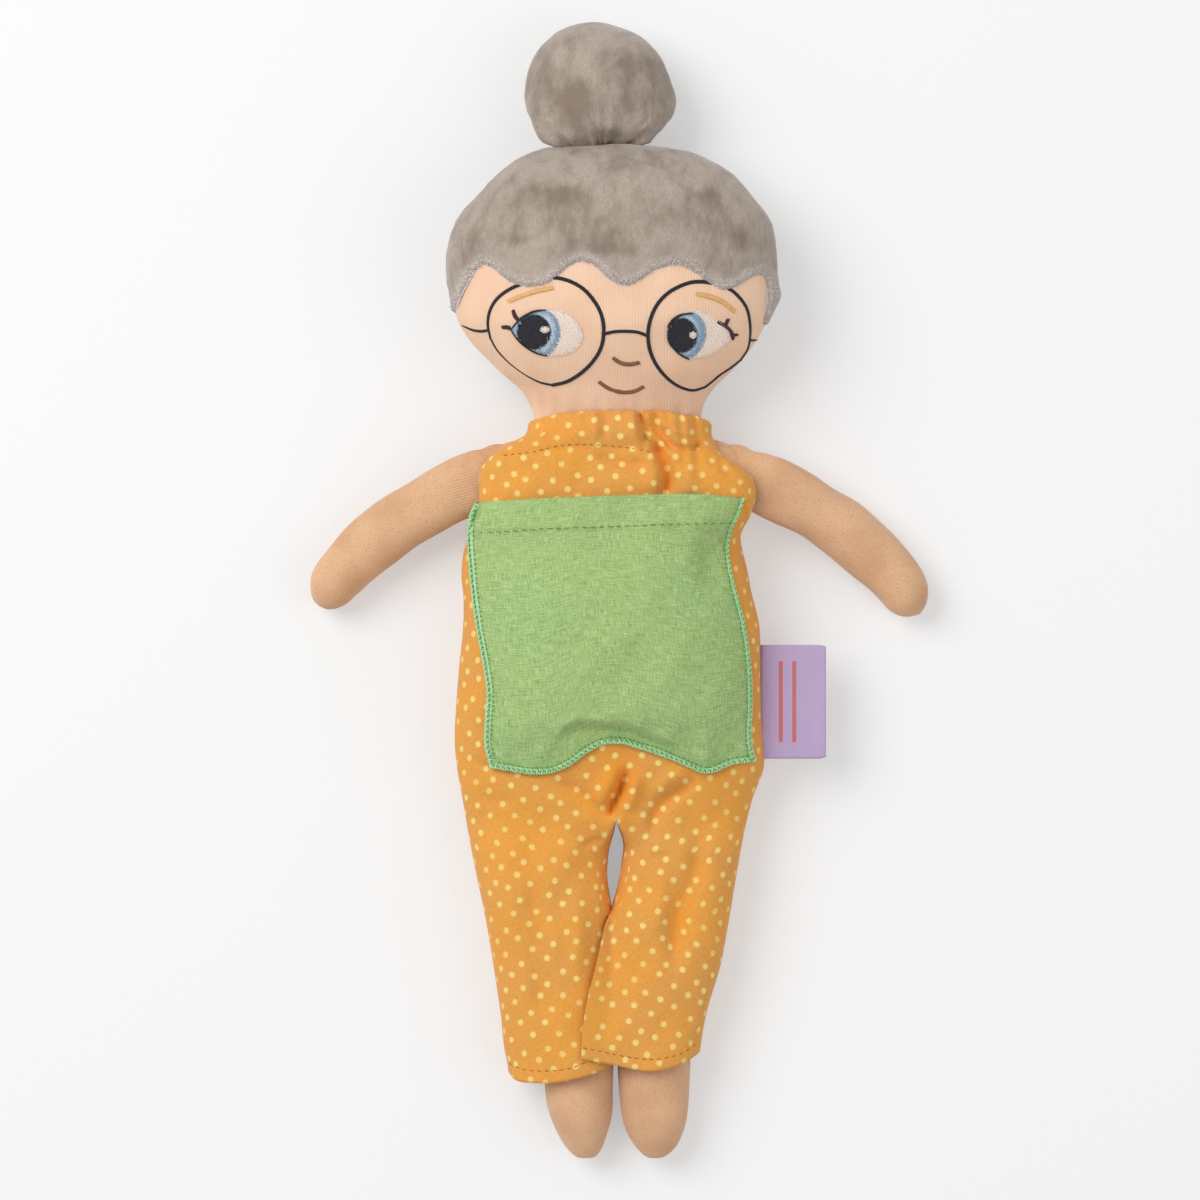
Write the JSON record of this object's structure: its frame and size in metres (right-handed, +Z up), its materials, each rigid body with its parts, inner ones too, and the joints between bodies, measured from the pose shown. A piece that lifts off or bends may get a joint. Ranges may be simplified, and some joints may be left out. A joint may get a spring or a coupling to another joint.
{
  "type": "stuffed cloth granny doll",
  "caption": "Hand-sewn stuffed cloth granny doll with embroidered glasses and face, plush hair with a bun, dotted jumpsuit, patch pocket and a side seam label.",
  "frame": {"origin": "on the surface that the doll lies on, under the middle of its box", "axes": "+Z up out of the face, +Y from the feet to the bun, +X to the doll's own left"},
  "size_m": [0.2296, 0.4193, 0.0618],
  "materials": {
    "skin_cloth": "fine knit",
    "hair_plush": "short pile",
    "stuffing": "fibre fill",
    "dotted_cotton": "printed plain weave",
    "elastic": "thread",
    "pocket_linen": "linen weave",
    "edging_thread": "thread",
    "woven_label": "woven ribbon",
    "black_thread": "thread",
    "brown_thread": "thread",
    "eye_white_thread": "thread",
    "eye_blue_thread": "thread",
    "lash_thread": "thread",
    "brow_thread": "thread"
  },
  "bodies": {
    "torso": {"torso_front": "skin_cloth", "torso_back": "skin_cloth", "torso_stuffing": "stuffing", "jumpsuit_front": "dotted_cotton", "jumpsuit_back": "dotted_cotton", "jumpsuit_seat": "dotted_cotton", "neck_casing": "dotted_cotton", "neck_elastic": "elastic", "pocket": "pocket_linen", "pocket_edging": "edging_thread"},
    "neck": {"neck": "skin_cloth"},
    "head": {"face_panel": "skin_cloth", "head_back_panel": "hair_plush", "head_stuffing": "stuffing", "hair_front": "hair_plush", "glasses": "black_thread", "nose": "brown_thread", "mouth": "brown_thread", "right_eye_white": "eye_white_thread", "right_iris": "eye_blue_thread", "right_pupil": "black_thread", "right_glint": "eye_white_thread", "right_lashes": "lash_thread", "right_brow": "brow_thread", "left_eye_white": "eye_white_thread", "left_iris": "eye_blue_thread", "left_pupil": "black_thread", "left_glint": "eye_white_thread", "left_lashes": "lash_thread", "left_brow": "brow_thread"},
    "bun": {"bun_front": "hair_plush", "bun_back": "hair_plush", "bun_stuffing": "stuffing"},
    "label": {"label": "woven_label"},
    "right_arm_root": {"right_arm_root": "skin_cloth"},
    "right_arm": {"right_arm_front": "skin_cloth", "right_arm_back": "skin_cloth", "right_arm_stuffing": "stuffing"},
    "right_leg_root": {"right_leg_root": "skin_cloth"},
    "right_leg": {"right_leg_front": "skin_cloth", "right_leg_back": "skin_cloth", "right_leg_stuffing": "stuffing", "right_trouser_front": "dotted_cotton", "right_trouser_back": "dotted_cotton"},
    "left_arm_root": {"left_arm_root": "skin_cloth"},
    "left_arm": {"left_arm_front": "skin_cloth", "left_arm_back": "skin_cloth", "left_arm_stuffing": "stuffing"},
    "left_leg_root": {"left_leg_root": "skin_cloth"},
    "left_leg": {"left_leg_front": "skin_cloth", "left_leg_back": "skin_cloth", "left_leg_stuffing": "stuffing", "left_trouser_front": "dotted_cotton", "left_trouser_back": "dotted_cotton"}
  },
  "joints": [
    {"name": "neck_tilt", "type": "hinge", "parent": "torso", "child": "neck", "pos_m": [-0.0022, 0.044, 0.0228], "axis": [0, 0, 1], "range_deg": [-15, 15], "deforming": ["neck_casing", "neck_elastic"]},
    {"name": "neck_nod", "type": "hinge", "parent": "neck", "child": "head", "pos_m": [-0.0022, 0.0552, 0.0228], "axis": [1, 0, 0], "range_deg": [-20, 40], "deforming": ["neck_casing", "neck_elastic"]},
    {"name": "bun_flop", "type": "hinge", "parent": "head", "child": "bun", "pos_m": [-0.0072, 0.1665, 0.0295], "axis": [1, 0, 0], "range_deg": [-20, 40]},
    {"name": "label_fold", "type": "hinge", "parent": "torso", "child": "label", "pos_m": [0.0542, -0.041, 0.02115], "axis": [0, -1, 0], "range_deg": [-60, 75], "stiffness_Nm_per_rad": 0.001},
    {"name": "right_shoulder_flap", "type": "hinge", "parent": "torso", "child": "right_arm_root", "pos_m": [-0.0493, 0.0443, 0.0224], "axis": [0, 1, 0], "range_deg": [-30, 80]},
    {"name": "right_arm_raise", "type": "hinge", "parent": "right_arm_root", "child": "right_arm", "pos_m": [-0.0584, 0.0404, 0.0206], "axis": [0, 0, -1], "range_deg": [-25, 40]},
    {"name": "left_shoulder_flap", "type": "hinge", "parent": "torso", "child": "left_arm_root", "pos_m": [0.0462, 0.0443, 0.0224], "axis": [0, -1, 0], "range_deg": [-30, 80]},
    {"name": "left_arm_raise", "type": "hinge", "parent": "left_arm_root", "child": "left_arm", "pos_m": [0.0584, 0.0404, 0.0206], "axis": [0, 0, 1], "range_deg": [-25, 40]},
    {"name": "right_hip_fold", "type": "hinge", "parent": "torso", "child": "right_leg_root", "pos_m": [-0.0166, -0.0794, 0.015], "axis": [-1, 0, 0], "range_deg": [-30, 90], "deforming": ["jumpsuit_seat"]},
    {"name": "right_leg_splay", "type": "hinge", "parent": "right_leg_root", "child": "right_leg", "pos_m": [-0.0166, -0.0914, 0.015], "axis": [0, 0, -1], "range_deg": [0, 25], "deforming": ["jumpsuit_seat"]},
    {"name": "left_hip_fold", "type": "hinge", "parent": "torso", "child": "left_leg_root", "pos_m": [0.0142, -0.0794, 0.015], "axis": [-1, 0, 0], "range_deg": [-30, 90], "deforming": ["jumpsuit_seat"]},
    {"name": "left_leg_splay", "type": "hinge", "parent": "left_leg_root", "child": "left_leg", "pos_m": [0.0142, -0.0914, 0.015], "axis": [0, 0, 1], "range_deg": [0, 25], "deforming": ["jumpsuit_seat"]}
  ]
}
